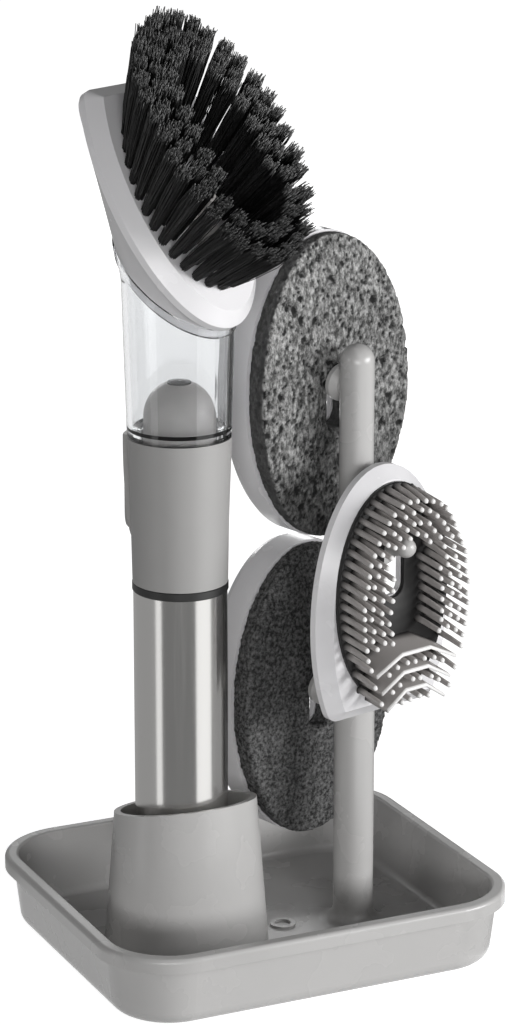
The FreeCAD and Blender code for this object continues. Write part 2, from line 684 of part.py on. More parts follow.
def make_head_base(slot):
    """Shallow shell with a bevelled face, a soap slot and the socket that grips the carrier."""
    block = head_block(0.0, -HEAD_DEPTH, 0.0)
    bevel_foot = HEAD_DEPTH - HEAD_EDGE
    rim = edges_at(block, 0.0)
    block = block.makeChamfer(min(HEAD_BEVEL, bevel_foot), rim)
    hollow = head_block(HEAD_WALL, -HEAD_DEPTH, -HEAD_EDGE - HEAD_PLATE)
    core = head_block(HEAD_WALL + HEAD_BEVEL, -HEAD_DEPTH, -HEAD_PLATE)
    base = block.cut(hollow).cut(core)
    base = base.fuse(socket_rib(HEAD_DEPTH, -HEAD_PLATE))
    return base.cut(slot).removeSplitter()


def make_pad_base(slot):
    """Deep oval shell behind a sponge pad, drawn in towards its open back."""
    def oval(inset, level):
        return ellipse(PAD_BASE_LENGTH - 2 * inset, PAD_BASE_WIDTH - 2 * inset, level)

    straight = PAD_BASE_DEPTH - PAD_BASE_ROUND
    body = prism(oval(0.0, -straight), straight)
    bend = PAD_BASE_ROUND * math.sqrt(0.5)
    knuckle = oval(PAD_BASE_ROUND - bend, -straight - bend)
    foot = oval(PAD_BASE_ROUND, -PAD_BASE_DEPTH)
    rounded = Part.makeLoft([foot, knuckle, oval(0.0, -straight)], True, True)
    hollow = prism(oval(HEAD_WALL + PAD_BASE_ROUND, -PAD_BASE_DEPTH), PAD_BASE_DEPTH - HEAD_PLATE)
    base = body.fuse(rounded).cut(hollow).fuse(socket_rib(PAD_BASE_DEPTH, -HEAD_PLATE))
    return base.cut(slot).removeSplitter()


def make_pad(slot):
    """Oval pad with a crowned face."""
    thick = PAD_EDGE + PAD_CROWN
    block = prism(ellipse(PAD_LENGTH, PAD_WIDTH, 0.0), thick)
    bow = (PAD_LENGTH ** 2 / 4 + PAD_CROWN ** 2) / (2 * PAD_CROWN)
    crown = cylinder(2 * bow, 2 * PAD_WIDTH, V(-PAD_WIDTH, 0, thick - bow), V(1, 0, 0))
    return block.common(crown).cut(slot)


# Carrier: the white wedge between the slanted neck and the head
def smooth_loop(points):
    curve = Part.BSplineCurve()
    curve.interpolate(Points=points, PeriodicFlag=True)
    return Part.Wire(curve.toShape())


def make_carrier():
    on_wand = frame(HEAD_ORIGIN, V(0, 1, 0), FACE_LENGTHWISE, FACE_NORMAL)
    outline = min(head_block(0.0, -HEAD_DEPTH, 0.0).Faces, key=lambda f: f.CenterOfMass.z).OuterWire
    upper = []
    lower = []
    for step in range(CARRIER_SECTIONS):
        turn = 2 * math.pi * step / CARRIER_SECTIONS
        middle = V(0, 0, -HEAD_DEPTH)
        ray = Part.makeLine(middle, middle + V(math.sin(turn), math.cos(turn), 0) * HEAD_LENGTH)
        upper.append(on_wand.multVec(outline.distToShape(ray)[1][0][0]))
        lower.append(rim_point(turn))
    wedge = Part.makeLoft([smooth_loop(lower), smooth_loop(upper)], True, True)

    lip_level = rim_front.z - CARRIER_LIP
    lip = neck_radius(lip_level) - NECK_WALL - CARRIER_FIT
    plug = cylinder(2 * lip, NECK_TOP - lip_level, V(0, 0, lip_level))
    plug = plug.cut(half_space_above(RIM_CENTRE, RIM_NORMAL))
    plug = plug.common(half_space_above(RIM_CENTRE - RIM_NORMAL * CARRIER_LIP, RIM_NORMAL))
    well = cylinder(2 * (lip - CARRIER_LIP_WALL), NECK_TOP, V(0, 0, lip_level - 1))
    well = well.cut(half_space_above(HEAD_ORIGIN - FACE_NORMAL * (HEAD_DEPTH + CARRIER_DECK), FACE_NORMAL))
    socket = ellipse(SOCKET_LENGTH - 2 * CARRIER_FIT, SOCKET_WIDTH - 2 * CARRIER_FIT, -HEAD_DEPTH)
    spigot = placed(prism(socket, CARRIER_SPIGOT), on_wand)
    passage = obround(SLOT_LENGTH, SLOT_WIDTH, 4 * HEAD_DEPTH)
    passage.translate(V(0, SLOT_OFFSET, -3 * HEAD_DEPTH))
    return wedge.fuse([plug, spigot]).cut([well, placed(passage, on_wand)]).removeSplitter()


# Brush: rings of tufts round the soap nozzle, raked towards the tip and fanned out
def make_tufts():
    tufts = []
    flange = nozzle_flange()
    for ring in range(TUFT_RINGS):
        inset = HEAD_BEVEL + TUFT_EDGE + ring * TUFT_PITCH
        length = HEAD_LENGTH - 2 * inset - 2 * TUFT_SHIFT
        loop = ellipse(length, HEAD_WIDTH - 2 * inset, 0.0, V(0, 1, 0), V(0, TUFT_SHIFT, 0))
        count = int(loop.Length / TUFT_PITCH)
        for root in loop.discretize(Number=count + 1)[:-1]:
            if flange.distToShape(Part.Vertex(root))[0] < TUFT_ROOT:
                continue
            rake = math.radians(TUFT_RAKE + TUFT_SPREAD * 2 * root.y / HEAD_LENGTH)
            splay = math.radians(TUFT_SPLAY * 2 * root.x / HEAD_WIDTH)
            run = V(math.tan(splay), math.tan(rake), 1)
            tip = root + run * (TUFT_LENGTH / run.Length)
            tufts.append(taper(root, TUFT_ROOT, tip, TUFT_TIP))
    return Part.makeCompound(tufts)


def taper(root, root_diameter, tip, tip_diameter, sides=6):
    """Straight tapered rod of a few flat sides between two level ends."""
    spokes = []
    for side in range(sides):
        turn = 2 * math.pi * side / sides
        spokes.append(V(math.cos(turn), math.sin(turn), 0))
    foot = [root + spoke * (root_diameter / 2) for spoke in spokes]
    top = [tip + spoke * (tip_diameter / 2) for spoke in spokes]
    outlines = [foot, top]
    for side in range(sides):
        outlines.append([foot[side - 1], foot[side], top[side], top[side - 1]])
    shell = Part.makeShell([Part.Face(Part.makePolygon(c + c[:1])) for c in outlines])
    shell.sewShape()
    return Part.makeSolid(shell)


def nozzle_flange():
    flange = obround(SLOT_LENGTH + NOZZLE_FLANGE, SLOT_WIDTH + NOZZLE_FLANGE, NOZZLE_FLANGE)
    flange.translate(V(0, SLOT_OFFSET, 0))
    return flange


def make_nozzle():
    plug = obround(SLOT_LENGTH - 2 * CARRIER_FIT, SLOT_WIDTH - 2 * CARRIER_FIT, HEAD_PLATE)
    plug.translate(V(0, SLOT_OFFSET, -HEAD_PLATE))
    spout = revolve([
        (0, 0), (SLOT_WIDTH / 2, 0), (SLOT_WIDTH / 2, NOZZLE_FLANGE), (NOZZLE_TIP / 2, NOZZLE_RISE),
        (0, NOZZLE_RISE)])
    end = V(0, SLOT_OFFSET + (SLOT_LENGTH - SLOT_WIDTH) / 2, 0)
    spout.translate(end)
    hole = cylinder(NOZZLE_HOLE, NOZZLE_RISE + 2 * HEAD_PLATE, end - UP * (HEAD_PLATE * 1.5))
    return plug.fuse([nozzle_flange(), spout]).cut(hole).removeSplitter()


# Silicone mat: rods round a soap opening, then chevron wiper blades towards the tip
def blade_corners(index):
    width = BLADE_WIDTH - 2 * index * BLADE_NARROWING
    crest = width * BLADE_CREST
    level = BLADE_FIRST + index * BLADE_PITCH
    return [V(-width / 2, level + BLADE_RISE, 0), V(-crest / 2, level, 0),
            V(crest / 2, level, 0), V(width / 2, level + BLADE_RISE, 0)]


def rod_ring_roots(inset):
    """Rods in rings that follow the mat's outline, up to the first blade."""
    roots = []
    for ring in range(ROD_RINGS):
        reach = 2 * (inset + ring * ROD_RING_PITCH)
        loop = ellipse(HEAD_LENGTH - reach, HEAD_WIDTH - reach)
        points = loop.discretize(Number=int(loop.Length / ROD_SPACING) + 1)[:-1]
        roots += [p for p in points if p.y < BLADE_FIRST - ROD_ROOT or abs(p.x) > BLADE_WIDTH / 2 + ROD_ROOT]
    return roots


def rod_row_roots():
    """Rods in a row behind each blade."""
    roots = []
    behind = V(0, (BLADE_PITCH + BLADE_WALL) / 2, 0)
    for index in range(BLADE_COUNT):
        row = Part.makePolygon([p + behind for p in blade_corners(index)])
        roots += row.discretize(Number=int(row.Length / ROD_SPACING) + 1)
    return roots


def make_silicone_pad():
    margin = HEAD_BEVEL + MAT_MARGIN
    mat = prism(ellipse(HEAD_LENGTH - 2 * margin, HEAD_WIDTH - 2 * margin), MAT_THICKNESS)
    opening = obround(VOID_LENGTH, VOID_WIDTH, MAT_THICKNESS)
    opening.translate(V(0, VOID_OFFSET, 0))
    mat = mat.cut(opening)

    blades = []
    for index in range(BLADE_COUNT):
        crest = blade_corners(index)
        thick = V(0, BLADE_WALL, 0)
        corners = crest + [p + thick for p in reversed(crest)] + crest[:1]
        face = Part.Face(Part.makePolygon([p + UP * MAT_THICKNESS for p in corners]))
        blades.append(face.extrude(UP * ROD_LENGTH))

    kept = Part.makeCompound([opening] + blades)
    inset = margin + ROD_ROOT / 2
    field = Part.Face(ellipse(HEAD_LENGTH - 2 * inset, HEAD_WIDTH - 2 * inset))
    rods = []
    for root in rod_ring_roots(inset) + rod_row_roots():
        foot = root + UP * MAT_THICKNESS
        if field.isInside(root, ROD_ROOT, True) and kept.distToShape(Part.Vertex(foot))[0] > ROD_ROOT:
            rods.append(taper(foot, ROD_ROOT, foot + UP * ROD_LENGTH, ROD_TIP))
    return mat.multiFuse(blades + rods)


# Where the spare heads hang: face plates squared to the pegs' heading, tip down
def hung(distance, height):
    origin = POST_AXIS + FRONT * distance + UP * height
    down = UP * -1
    return frame(origin, down.cross(FRONT), down, FRONT)


def seat(shoulder):
    """How far from the post's axis a head rests against a peg's shoulder."""
    lean = math.radians(PEG_RISE)
    return shoulder * math.cos(lean) + PEG_FLANGE_DIAMETER / 2 * math.sin(lean) + SEAT_GAP


def peg_root(distance, height, offset):
    """Post-axis height of the peg that carries a head by the upper end of its slot."""
    slot_end = height - offset + (SLOT_LENGTH - SLOT_WIDTH) / 2
    lift = SLOT_WIDTH / 2 - PEG_BALL_DIAMETER / 2 - SEAT_GAP
    return POST_AXIS + UP * (slot_end + lift - distance * math.tan(math.radians(PEG_RISE)))


PAD_THICKNESS = PAD_EDGE + PAD_CROWN
SPONGE_REACH = seat(UPPER_PEG_SHOULDER) + PAD_THICKNESS
SCOURER_REACH = seat(LOWER_PEG_SHOULDER) + PAD_THICKNESS
SILICONE_REACH = seat(FRONT_PEG_SHOULDER) + HEAD_PLATE
BACK_PEG = heading(HANG_AZIMUTH, PEG_RISE)
FRONT_PEG = heading(HANG_AZIMUTH + 180, PEG_RISE)
LEAN = math.radians(PEG_RISE)
BACK_LEAN = V(0, -math.sin(LEAN), -math.cos(LEAN))
FRONT_LEAN = V(0, -math.sin(LEAN), math.cos(LEAN))


def save(name, shape):
    shape.exportStep(os.path.join("parts", name + ".step"))


def main():
    os.makedirs("parts", exist_ok=True)

    save("drip_tray", make_tray())
    save("wand_cup", make_cup())
    lower_post = make_lower_post()
    upper_post = make_upper_post()
    save("lower_post", lower_post)
    save("upper_post", upper_post)
    posts = cylinder(POST_LOWER_DIAMETER, BOSS_HEIGHT + POST_LOWER_LENGTH, POST_AXIS + UP * TRAY_FLOOR)
    post_top = TRAY_FLOOR + BOSS_HEIGHT + POST_LOWER_LENGTH + POST_UPPER_LENGTH
    posts = posts.fuse(cylinder(POST_UPPER_DIAMETER, post_top, POST_AXIS))
    upper_root = peg_root(SPONGE_REACH, SPONGE_HEIGHT, PAD_SLOT_OFFSET)
    save("upper_peg", make_peg(upper_root, BACK_PEG, UPPER_PEG_SHOULDER, UPPER_PEG_LENGTH, posts))
    lower_root = peg_root(SCOURER_REACH, SCOURER_HEIGHT, PAD_SLOT_OFFSET)
    save("lower_peg", make_peg(lower_root, BACK_PEG, LOWER_PEG_SHOULDER, LOWER_PEG_LENGTH, posts))
    front_root = peg_root(SILICONE_REACH, SILICONE_HEIGHT, SLOT_OFFSET)
    save("front_peg", make_peg(front_root, FRONT_PEG, FRONT_PEG_SHOULDER, FRONT_PEG_LENGTH, posts))

    on_wand = {
        "end_cap": make_end_cap(),
        "handle_tube": make_handle_tube(),
        "soap_tank": make_soap_tank(),
        "seal_ring": make_seal_ring(),
        "grip_sleeve": make_grip_sleeve(),
        "soap_button": make_soap_button(),
        "pump_body": make_pump_body(),
        "inlet_valve": umbrella_valve(INLET_DIAMETER, PUMP_FOOT),
        "outlet_valve": umbrella_valve(PASSAGE_DIAMETER, DOME_LEVEL),
        "pump_piston": make_pump_piston(),
        "return_bellows": make_return_bellows(),
        "clear_neck": make_clear_neck(),
        "head_carrier": make_carrier(),
    }
    for name, shape in on_wand.items():
        save(name, placed(shape, WAND_PLACE))

    square = slot_cutter(SLOT_OFFSET, UP, HEAD_DEPTH)
    save("brush_base", placed(make_head_base(square), HEAD_ON_WAND))
    save("bristle_tufts", placed(make_tufts(), HEAD_ON_WAND))
    save("soap_nozzle", placed(make_nozzle(), HEAD_ON_WAND))

    pad_slot = slot_cutter(PAD_SLOT_OFFSET, BACK_LEAN, PAD_BASE_DEPTH)
    sponge_place = hung(-SPONGE_REACH, SPONGE_HEIGHT)
    save("sponge_base", placed(make_pad_base(pad_slot), sponge_place))
    save("sponge_pad", placed(make_pad(pad_slot), sponge_place))
    scourer_place = hung(-SCOURER_REACH, SCOURER_HEIGHT)
    save("scourer_base", placed(make_pad_base(pad_slot), scourer_place))
    save("scourer_pad", placed(make_pad(pad_slot), scourer_place))

    silicone_place = hung(SILICONE_REACH, SILICONE_HEIGHT)
    leaned = slot_cutter(SLOT_OFFSET, FRONT_LEAN, HEAD_DEPTH)
    save("silicone_base", placed(make_head_base(leaned), silicone_place))
    save("silicone_pad", placed(make_silicone_pad(), silicone_place))


if __name__ == "__main__":
    main()
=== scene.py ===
import json
import math
import random

import bmesh
import bpy
from mathutils import Matrix, Vector, noise


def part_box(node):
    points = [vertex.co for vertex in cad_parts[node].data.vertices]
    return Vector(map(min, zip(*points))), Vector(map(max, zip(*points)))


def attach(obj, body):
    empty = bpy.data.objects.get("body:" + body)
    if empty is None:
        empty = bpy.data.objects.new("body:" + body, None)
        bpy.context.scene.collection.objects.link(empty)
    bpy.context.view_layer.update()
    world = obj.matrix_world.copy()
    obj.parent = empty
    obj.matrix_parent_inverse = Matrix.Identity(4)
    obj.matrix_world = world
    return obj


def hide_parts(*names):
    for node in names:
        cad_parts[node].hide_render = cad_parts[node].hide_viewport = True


# Dish wand on its drip stand with three spare heads. Metres, in the frame of the solids.

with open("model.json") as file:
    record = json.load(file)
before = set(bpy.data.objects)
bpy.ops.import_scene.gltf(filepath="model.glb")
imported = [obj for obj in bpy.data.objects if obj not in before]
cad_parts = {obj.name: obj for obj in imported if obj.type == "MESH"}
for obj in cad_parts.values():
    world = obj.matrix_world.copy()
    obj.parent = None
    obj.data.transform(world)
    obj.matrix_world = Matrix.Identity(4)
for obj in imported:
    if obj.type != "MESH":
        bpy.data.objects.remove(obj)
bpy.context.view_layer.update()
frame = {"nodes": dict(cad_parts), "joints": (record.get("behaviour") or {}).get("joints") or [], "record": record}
nodes = frame["nodes"]
joints = {joint["name"]: joint for joint in frame["joints"]}
body_of_node = {n: b for b, members in frame["record"]["behaviour"]["bodies"].items() for n in members}

MM = 0.001
UP = Vector((0, 0, 1))

# Points nearer than this are one point, and points this level lie on one face
MERGE_DISTANCE = 0.01 * MM
LEVEL_TOLERANCE = 0.05 * MM

# Brush filament, drawn thicker than the real 0.2 mm so that it shows
BRISTLE_SEED = 4
GOLDEN_ANGLE = math.pi * (3 - math.sqrt(5))
FILAMENT_RADIUS = 0.18 * MM
FILAMENT_SIDES = 3
FILAMENT_RINGS = (0.0, 0.35, 0.7, 0.9, 1.0)
FILAMENT_KINK = 0.2 * MM
FILAMENT_BOW = 0.45 * MM
FILAMENTS_PER_TUFT = 84
FILAMENT_LENGTH_SPREAD = 0.06
FILAMENT_TURN_SPREAD = 0.3
TUFT_ROOT_RADIUS = 1.6 * MM
TUFT_TIP_RADIUS = 2.8 * MM
TUFT_STRAY = 0.5 * MM
TUFT_LENGTH_SHARE = 0.91
FAN_ACROSS = 0.1
FAN_ALONG = 0.16

# Sponge and scouring pad: a cell's share is how far it reaches into its own ground
SPONGE_VOXEL = 0.62 * MM
SPONGE_ROUNDING = 6
SPONGE_CELL = 2.3 * MM
SPONGE_CELL_SHARE = 0.5
SPONGE_CELL_SHARE_SPREAD = 0.25
SPONGE_LARGE_CELL = 5.8 * MM
SPONGE_LARGE_CELL_SHARE = 0.34
SPONGE_LARGE_CELL_SHIFT = Vector((0.3, 0.1, 0.2))
SPONGE_CELL_WOBBLE = 0.26
SPONGE_PORE_DEPTH = 1.1 * MM
SPONGE_BACK = 0.3 * MM
FLEECE_VOXEL = 0.75 * MM
FLEECE_ROUNDING = 5
FLEECE_FIBRE = 1.0 * MM
FLEECE_RELIEF = 0.35 * MM

# Silicone mat, rods and blades. Profiles hold shares of the height, with the girth or the thinning in mm there
ROD_SEED = 9
MAT_THICKNESS = 1.8 * MM
MAT_EDGE = 0.5 * MM
MAT_SEGMENTS = 96
OPENING_LENGTH = 21.6 * MM
OPENING_WIDTH = 9.0 * MM
OPENING_OFFSET = -9.0 * MM
ROD_RADIUS = 1.12 * MM
ROD_LEAN = math.radians(9)
ROD_DROOP = 0.5 * MM
ROD_DROOP_SPREAD = 0.3 * MM
ROD_SIDES = 10
ROW_SPACING = 3.7 * MM
ROW_OFFSET = 4.1 * MM
ROD_PROFILE = ((0.0, 1.25), (0.05, 1.0), (0.5, 0.92), (0.93, 0.84), (0.975, 0.68), (1.0, 0.3))
BLADE_PROFILE = ((0.0, -0.2), (0.06, 0.0), (0.93, 0.15), (0.98, 0.25), (1.0, 0.5))

# Camera, as the photograph was taken
VIEW_AZIMUTH = -25.19
VIEW_ELEVATION = 16.09
VIEW_DISTANCE = 1.1813
VIEW_TARGET = Vector((0, 0, 0.1541))
FOCAL_PIXELS = 3500
LONG_SIDE_PIXELS = 1024
SENSOR = 36.0

# Soft lamps: name, azimuth, elevation, distance, width and height, watts
LAMPS = (
    ("key_light", 48, 10, 1.4, (0.9, 0.4), 20),
    ("fill_light", -88, 5, 1.4, (0.8, 0.25), 1.5),
    ("front_light", -25, 5, 1.6, (1.0, 0.24), 10),
    ("back_light", 165, 10, 1.5, (0.9, 0.3), 4),
)
AMBIENT = 0.09

# Cards that the steel mirrors: first and last azimuth, brightness
CARDS = (
    (-205, -83, 0.4), (-82, -69, 1.15), (-68, 11, 0.22), (13, 50, 1.3), (50, 88, 0.36), (88, 128, 0.03),
)
CARD_RADIUS = 0.11
CARD_HEIGHT = 0.5
CARD_STEP = 6

# Floor: shadow tone near the object and white further out
FLOOR_SIZE = 6.0
FLOOR_NEAR = 0.12
FLOOR_FAR = 0.5
FLOOR_NEAR_TONE = 0.9


def clamped(value):
    return max(0.0, min(1.0, value))


def linear(colour):
    """Linear colour from an sRGB hex value."""
    parts = [int(colour[i:i + 2], 16) / 255 for i in (1, 3, 5)]
    return [c / 12.92 if c <= 0.04045 else ((c + 0.055) / 1.055) ** 2.4 for c in parts] + [1.0]


def per_mm(size):
    """Texture scale whose features are about that many millimetres apart."""
    return 1 / (size * MM)


def add(material, kind, inputs=None, stops=(), **settings):
    """Adds one node. Inputs hold plain values or other nodes' outputs, stops a ramp's places and colours."""
    node = material.node_tree.nodes.new(kind)
    for name, value in settings.items():
        setattr(node, name, value)
    for name, value in (inputs or {}).items():
        if isinstance(value, bpy.types.NodeSocket):
            material.node_tree.links.new(value, node.inputs[name])
        else:
            node.inputs[name].default_value = value
    for index, (position, colour) in enumerate(stops):
        node.color_ramp.elements[index].position = position
        node.color_ramp.elements[index].color = linear(colour)
    return node


def blank_material(name):
    material = bpy.data.materials.new(name)
    material.use_nodes = True
    material.node_tree.nodes.clear()
    return material


# Injection-moulded plastic: even colour with faint flow mottling, a fine eroded skin and uneven gloss.
# The skin's grain is drawn coarser than the real one, so that it shows
def moulded_plastic(name, colour, roughness, mottling=0.04):
    material = blank_material(name)
    place = add(material, "ShaderNodeTexCoord").outputs["Object"]
    flow = add(material, "ShaderNodeTexNoise", {"Vector": place, "Scale": per_mm(18), "Detail": 3.0})
    grain = add(material, "ShaderNodeTexNoise", {"Vector": place, "Scale": per_mm(0.35), "Detail": 2.0})
    base = linear(colour)
    tint = add(material, "ShaderNodeMixRGB", {
        "Fac": flow.outputs["Fac"], "Color1": [c * (1 - mottling) for c in base[:3]] + [1],
        "Color2": [min(c * (1 + mottling), 1) for c in base[:3]] + [1]})
    gloss = add(material, "ShaderNodeMapRange", {
        "Value": flow.outputs["Fac"], "To Min": roughness - 0.04, "To Max": roughness + 0.04})
    relief = add(material, "ShaderNodeBump", {
        "Height": grain.outputs["Fac"], "Strength": 0.12, "Distance": 0.05 * MM})
    shader = add(material, "ShaderNodeBsdfPrincipled", {
        "Base Color": tint.outputs["Color"], "Roughness": gloss.outputs["Result"], "IOR": 1.53,
        "Normal": relief.outputs["Normal"]})
    add(material, "ShaderNodeOutputMaterial", {"Surface": shader.outputs[0]})
    return material


# Polished stainless tube: mirror bands broken by faint lines drawn along its length
def polished_steel(name, colour, roughness):
    material = blank_material(name)
    place = add(material, "ShaderNodeTexCoord").outputs["Object"]
    along = add(material, "ShaderNodeMapping", {
        "Vector": place, "Scale": (per_mm(0.5), per_mm(0.5), per_mm(30))})
    lines = add(material, "ShaderNodeTexNoise", {
        "Vector": along.outputs["Vector"], "Scale": 1.0, "Detail": 3.0})
    gloss = add(material, "ShaderNodeMapRange", {
        "Value": lines.outputs["Fac"], "To Min": roughness - 0.05, "To Max": roughness + 0.07})
    relief = add(material, "ShaderNodeBump", {
        "Height": lines.outputs["Fac"], "Strength": 0.05, "Distance": 0.02 * MM})
    shader = add(material, "ShaderNodeBsdfPrincipled", {
        "Base Color": linear(colour), "Metallic": 1.0, "Roughness": gloss.outputs["Result"],
        "Normal": relief.outputs["Normal"]})
    add(material, "ShaderNodeOutputMaterial", {"Surface": shader.outputs[0]})
    return material


# Clear styrene: glassy, with a very slight waviness from the mould
def clear_styrene(name, colour, roughness):
    material = blank_material(name)
    place = add(material, "ShaderNodeTexCoord").outputs["Object"]
    waves = add(material, "ShaderNodeTexNoise", {"Vector": place, "Scale": per_mm(22), "Detail": 1.0})
    relief = add(material, "ShaderNodeBump", {
        "Height": waves.outputs["Fac"], "Strength": 0.05, "Distance": 0.3 * MM})
    shader = add(material, "ShaderNodeBsdfPrincipled", {
        "Base Color": linear(colour), "Roughness": roughness, "IOR": 1.57, "Transmission Weight": 1.0,
        "Normal": relief.outputs["Normal"]})
    add(material, "ShaderNodeOutputMaterial", {"Surface": shader.outputs[0]})
    return material


# Extruded polyester filament: near black with a dull sheen, with painted sheen in patches along it and painted
# highlights in specks at the tips
def bristle_filament(name, colour, highlight, painted_light):
    material = blank_material(name)
    place = add(material, "ShaderNodeTexCoord").outputs["Object"]
    rise = add(material, "ShaderNodeAttribute", attribute_name="rise")
    strands = add(material, "ShaderNodeTexNoise", {"Vector": place, "Scale": per_mm(0.9), "Detail": 1.0})
    # Painted sheen: the strands noise lightens patches of filament towards the highlight colour
    ramp = add(material, "ShaderNodeValToRGB", {"Fac": strands.outputs["Fac"]},
               stops=((0.45, colour), (0.7, highlight)))
    # Painted highlight: the last tenth of each filament is lightened in specks towards the lit tip colour
    end = add(material, "ShaderNodeMapRange", {
        "Value": rise.outputs["Fac"], "From Min": 0.9, "From Max": 1.0})
    glint = add(material, "ShaderNodeMapRange", {
        "Value": strands.outputs["Fac"], "From Min": 0.46, "From Max": 0.6})
    lit = add(material, "ShaderNodeMath", {
        0: end.outputs["Result"], 1: glint.outputs["Result"]}, operation="MULTIPLY")
    tint = add(material, "ShaderNodeMixRGB", {
        "Fac": lit.outputs[0], "Color1": ramp.outputs["Color"], "Color2": linear(painted_light)})
    shader = add(material, "ShaderNodeBsdfPrincipled", {
        "Base Color": tint.outputs["Color"], "Roughness": 0.4, "IOR": 1.57})
    add(material, "ShaderNodeOutputMaterial", {"Surface": shader.outputs[0]})
    return material


# Cellulose sponge: streaky webs, painted shade in the open cells, painted shadow darkening it towards its foot,
# painted shade on its side walls
def cellulose_sponge(name, shade, web, painted_shade, side):
    material = blank_material(name)
    place = add(material, "ShaderNodeTexCoord").outputs["Object"]
    pore = add(material, "ShaderNodeAttribute", attribute_name="pore")
    edge = add(material, "ShaderNodeAttribute", attribute_name="side")
    low_shadow = add(material, "ShaderNodeAttribute", attribute_name="low_shadow")
    specks = add(material, "ShaderNodeTexNoise", {"Vector": place, "Scale": per_mm(1.1), "Detail": 3.0})
    drawn = add(material, "ShaderNodeMapping", {
        "Vector": place, "Rotation": (0.3, 0.5, 0.0), "Scale": (1.0, 1.0, 0.5)})
    streaks = add(material, "ShaderNodeTexNoise", {
        "Vector": drawn.outputs["Vector"], "Scale": per_mm(1.5), "Detail": 4.0, "Roughness": 0.75})
    webs = add(material, "ShaderNodeValToRGB", {"Fac": streaks.outputs["Fac"]},
               stops=((0.4, shade), (0.64, web)))
    depth = add(material, "ShaderNodeMath", {
        0: pore.outputs["Fac"], 1: specks.outputs["Fac"]}, operation="ADD")
    # Painted shade: the deep parts of the open cells take the dark cell colour
    cell_shade_mask = add(material, "ShaderNodeMapRange", {
        "Value": depth.outputs[0], "From Min": 0.45, "From Max": 1.0})
    face = add(material, "ShaderNodeMixRGB", {
        "Fac": cell_shade_mask.outputs["Result"], "Color1": webs.outputs["Color"], "Color2": linear(painted_shade)})
    # Painted shadow: the sponge grows darker towards its foot
    low_shadow_share = add(material, "ShaderNodeMapRange", {"Value": low_shadow.outputs["Fac"], "To Max": 0.6})
    shadowed_face = add(material, "ShaderNodeMixRGB", {
        "Fac": low_shadow_share.outputs["Result"], "Color1": face.outputs["Color"], "Color2": linear(painted_shade)})
    # Painted shade: the side walls are darkened towards the side colour
    painted_light = add(material, "ShaderNodeMapRange", {"Value": edge.outputs["Fac"], "To Max": 0.8})
    tint = add(material, "ShaderNodeMixRGB", {
        "Fac": painted_light.outputs["Result"], "Color1": shadowed_face.outputs["Color"], "Color2": linear(side)})
    relief = add(material, "ShaderNodeBump", {
        "Height": streaks.outputs["Fac"], "Strength": 0.6, "Distance": 0.4 * MM})
    shader = add(material, "ShaderNodeBsdfPrincipled", {
        "Base Color": tint.outputs["Color"], "Roughness": 0.92, "IOR": 1.47,
        "Normal": relief.outputs["Normal"]})
    add(material, "ShaderNodeOutputMaterial", {"Surface": shader.outputs[0]})
    return material


# Scouring fleece: a mat of dark bonded fibres with pale glints of grit
def scouring_fleece(name, fibre, glint):
    material = blank_material(name)
    place = add(material, "ShaderNodeTexCoord").outputs["Object"]
    mat = add(material, "ShaderNodeTexNoise", {
        "Vector": place, "Scale": per_mm(1.3), "Detail": 4.0, "Roughness": 0.7})
    ramp = add(material, "ShaderNodeValToRGB", {"Fac": mat.outputs["Fac"]},
               stops=((0.4, fibre), (0.68, glint)))
    relief = add(material, "ShaderNodeBump", {
        "Height": mat.outputs["Fac"], "Strength": 0.6, "Distance": 0.3 * MM})
    shader = add(material, "ShaderNodeBsdfPrincipled", {
        "Base Color": ramp.outputs["Color"], "Roughness": 0.85, "Normal": relief.outputs["Normal"]})
    add(material, "ShaderNodeOutputMaterial", {"Surface": shader.outputs[0]})
    return material


# Moulded silicone: warm grey along the rods, with painted shade on the mat between them and painted highlights at
# their ends
def silicone_rubber(name, mat, body, tip):
    material = blank_material(name)
    place = add(material, "ShaderNodeTexCoord").outputs["Object"]
    rise = add(material, "ShaderNodeAttribute", attribute_name="rise")
    dust = add(material, "ShaderNodeTexNoise", {"Vector": place, "Scale": per_mm(2.5), "Detail": 2.0})
    # Painted shade: the mat and the foot of each rod take the dark mat colour
    shaded_low = add(material, "ShaderNodeMapRange", {
        "Value": rise.outputs["Fac"], "From Min": 0.14, "From Max": 0.4})
    # Painted highlight: the ends of the rods and blades take the pale tip colour
    end = add(material, "ShaderNodeMapRange", {
        "Value": rise.outputs["Fac"], "From Min": 0.935, "From Max": 0.965})
    shaded_stem = add(material, "ShaderNodeMixRGB", {
        "Fac": shaded_low.outputs["Result"], "Color1": linear(mat), "Color2": linear(body)})
    tint = add(material, "ShaderNodeMixRGB", {
        "Fac": end.outputs["Result"], "Color1": shaded_stem.outputs["Color"], "Color2": linear(tip)})
    gloss = add(material, "ShaderNodeMapRange", {
        "Value": dust.outputs["Fac"], "To Min": 0.4, "To Max": 0.52})
    shader = add(material, "ShaderNodeBsdfPrincipled", {
        "Base Color": tint.outputs["Color"], "Roughness": gloss.outputs["Result"], "IOR": 1.41})
    add(material, "ShaderNodeOutputMaterial", {"Surface": shader.outputs[0]})
    return material


GREY_ABS = moulded_plastic("grey_abs", "#B2B1B0", 0.27)
GRIP_ABS = moulded_plastic("grip_abs", "#9E9D9C", 0.4)
WHITE_ABS = moulded_plastic("white_abs", "#E3E2E4", 0.26, mottling=0.015)
BLACK_ABS = moulded_plastic("black_abs", "#1C1C1C", 0.4)
BLACK_RUBBER = moulded_plastic("black_rubber", "#141414", 0.45)
PUMP_PLASTIC = moulded_plastic("pump_polypropylene", "#9B9896", 0.35)
STEEL = polished_steel("polished_stainless", "#D2D1CF", 0.17)
CLEAR_NECK = clear_styrene("clear_styrene", "#E6E7E8", 0.02)
FROSTED_TANK = clear_styrene("frosted_tank", "#E8E8E8", 0.35)
